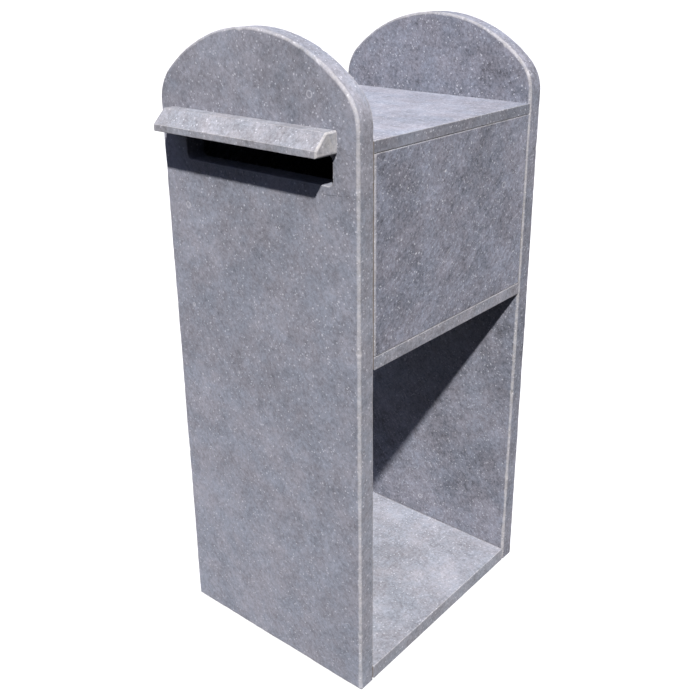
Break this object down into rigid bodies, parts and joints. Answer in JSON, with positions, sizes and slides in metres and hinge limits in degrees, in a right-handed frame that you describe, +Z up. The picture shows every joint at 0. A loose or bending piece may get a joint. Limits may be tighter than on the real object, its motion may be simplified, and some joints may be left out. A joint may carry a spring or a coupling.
{
  "type": "pillar letterbox",
  "caption": "Free-standing stone pillar letterbox: arch-topped front and back slabs, hooded letter slot, locked rear door and an open niche under the letter compartment.",
  "frame": {"origin": "centre of the footprint at ground level", "axes": "+X to the right of a person facing the slot, +Y from the slot to the rear door, +Z up"},
  "size_m": [0.35, 0.4942, 0.924],
  "materials": {
    "bluestone": "honed",
    "dowel_steel": "plain",
    "adhesive": "cured",
    "stainless_steel": "brushed",
    "nylon": "moulded",
    "gasket_rubber": "foam",
    "lock_chrome": "plated"
  },
  "bodies": {
    "pillar": {"front_slab": "bluestone", "back_slab": "bluestone", "base_slab": "bluestone", "shelf_slab": "bluestone", "roof_slab": "bluestone", "left_panel": "bluestone", "right_panel": "bluestone", "slot_hood": "bluestone", "base_dowels": "dowel_steel", "shelf_dowels": "dowel_steel", "roof_dowels": "dowel_steel", "panel_dowels": "dowel_steel", "hood_dowels": "dowel_steel", "front_bed": "adhesive", "back_bed": "adhesive", "panel_beds": "adhesive", "hood_bed": "adhesive", "door_frame": "stainless_steel", "frame_screws": "stainless_steel", "hinge_frame_leaves": "stainless_steel", "hinge_pins": "stainless_steel", "frame_plugs": "nylon", "door_gasket": "gasket_rubber"},
    "door": {"door_leaf": "stainless_steel", "hinge_door_leaves": "stainless_steel", "lock_housing": "lock_chrome", "lock_nut": "stainless_steel"},
    "lock": {"lock_plug": "lock_chrome", "lock_cam": "stainless_steel", "cam_screw": "stainless_steel"},
    "key": {"key": "lock_chrome"}
  },
  "joints": [
    {"name": "door_swing", "type": "hinge", "parent": "pillar", "child": "door", "pos_m": [-0.121, 0.2184, 0.6475], "axis": [0, 0, 1], "range_deg": [0, 115]},
    {"name": "lock_turn", "type": "hinge", "parent": "door", "child": "lock", "pos_m": [0.0945, 0.2, 0.6475], "axis": [0, -1, 0], "range_deg": [0, 90]},
    {"name": "key_slide", "type": "slide", "parent": "lock", "child": "key", "axis": [0, 1, 0], "range_m": [0, 0.025]}
  ]
}
